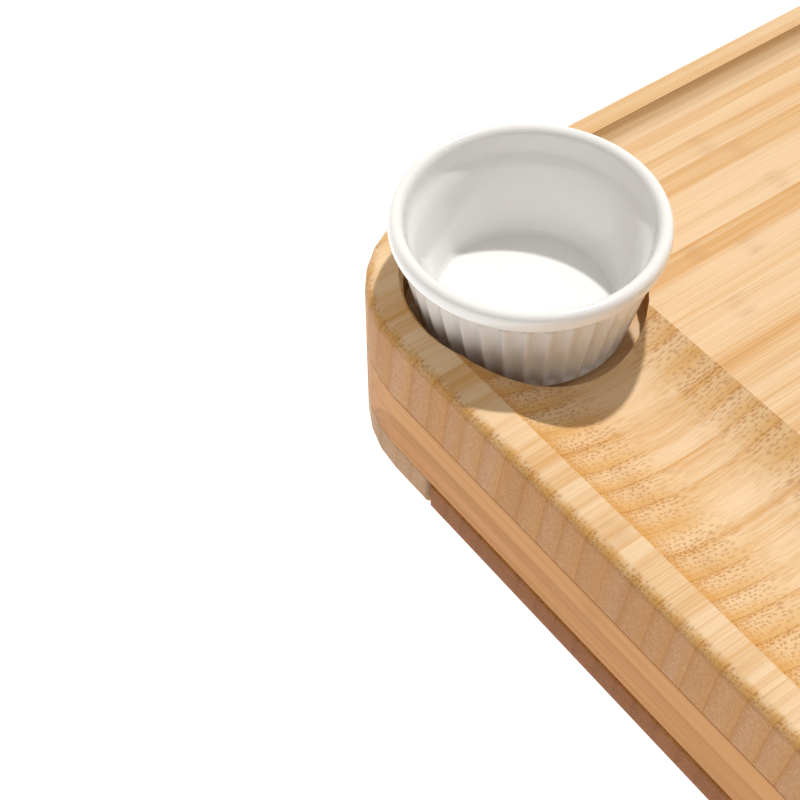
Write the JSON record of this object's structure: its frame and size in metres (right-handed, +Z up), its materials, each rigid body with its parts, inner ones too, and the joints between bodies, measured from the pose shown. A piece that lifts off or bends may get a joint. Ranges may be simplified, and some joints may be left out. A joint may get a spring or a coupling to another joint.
{
  "type": "chip and dip server",
  "caption": "Thick laminated bamboo serving board with end troughs, corner pockets holding fluted white ramekins, and slide-out cutlery drawers under each end.",
  "frame": {"origin": "bottom centre, on the plane where the feet meet the table", "axes": "+X along the board's length and its top grain, +Y across it, +Z up out of the serving face"},
  "size_m": [0.406, 0.33, 0.0702],
  "materials": {
    "bamboo_panel": "oiled bamboo, long grain with end grain in the troughs",
    "bamboo_core": "oiled carbonised bamboo, grain across",
    "bamboo_base": "oiled bamboo",
    "bamboo_drawer": "oiled bamboo",
    "bamboo_runner": "waxed bamboo",
    "glazed_ceramic": "white gloss glaze",
    "foot_rubber": "matt",
    "magnet_steel": "nickel plated"
  },
  "bodies": {
    "board": {"top_panel": "bamboo_panel", "core_board_1": "bamboo_core", "core_board_2": "bamboo_core", "core_board_3": "bamboo_core", "core_board_4": "bamboo_core", "core_board_5": "bamboo_core", "base_rail_front": "bamboo_base", "base_rail_back": "bamboo_base", "base_bridge": "bamboo_base", "runner_left_front": "bamboo_runner", "bridge_magnet_left_front": "magnet_steel", "foot_left_front": "foot_rubber", "runner_left_back": "bamboo_runner", "bridge_magnet_left_back": "magnet_steel", "foot_left_back": "foot_rubber", "runner_right_front": "bamboo_runner", "bridge_magnet_right_front": "magnet_steel", "foot_right_front": "foot_rubber", "runner_right_back": "bamboo_runner", "bridge_magnet_right_back": "magnet_steel", "foot_right_back": "foot_rubber"},
    "drawer_left": {"drawer_left_tray": "bamboo_drawer", "drawer_left_magnet_front": "magnet_steel", "drawer_left_magnet_back": "magnet_steel"},
    "drawer_right": {"drawer_right_tray": "bamboo_drawer", "drawer_right_magnet_front": "magnet_steel", "drawer_right_magnet_back": "magnet_steel"},
    "ramekin_left_front": {"ramekin_left_front": "glazed_ceramic"},
    "ramekin_left_back": {"ramekin_left_back": "glazed_ceramic"},
    "ramekin_right_front": {"ramekin_right_front": "glazed_ceramic"},
    "ramekin_right_back": {"ramekin_right_back": "glazed_ceramic"}
  },
  "joints": [
    {"name": "drawer_left_slide", "type": "slide", "parent": "board", "child": "drawer_left", "axis": [-1, 0, 0], "range_m": [0, 0.15]},
    {"name": "drawer_right_slide", "type": "slide", "parent": "board", "child": "drawer_right", "axis": [1, 0, 0], "range_m": [0, 0.15]},
    {"name": "ramekin_left_front_lift", "type": "slide", "parent": "board", "child": "ramekin_left_front", "axis": [0, 0, 1], "range_m": [0, 0.06]},
    {"name": "ramekin_left_back_lift", "type": "slide", "parent": "board", "child": "ramekin_left_back", "axis": [0, 0, 1], "range_m": [0, 0.06]},
    {"name": "ramekin_right_front_lift", "type": "slide", "parent": "board", "child": "ramekin_right_front", "axis": [0, 0, 1], "range_m": [0, 0.06]},
    {"name": "ramekin_right_back_lift", "type": "slide", "parent": "board", "child": "ramekin_right_back", "axis": [0, 0, 1], "range_m": [0, 0.06]}
  ]
}
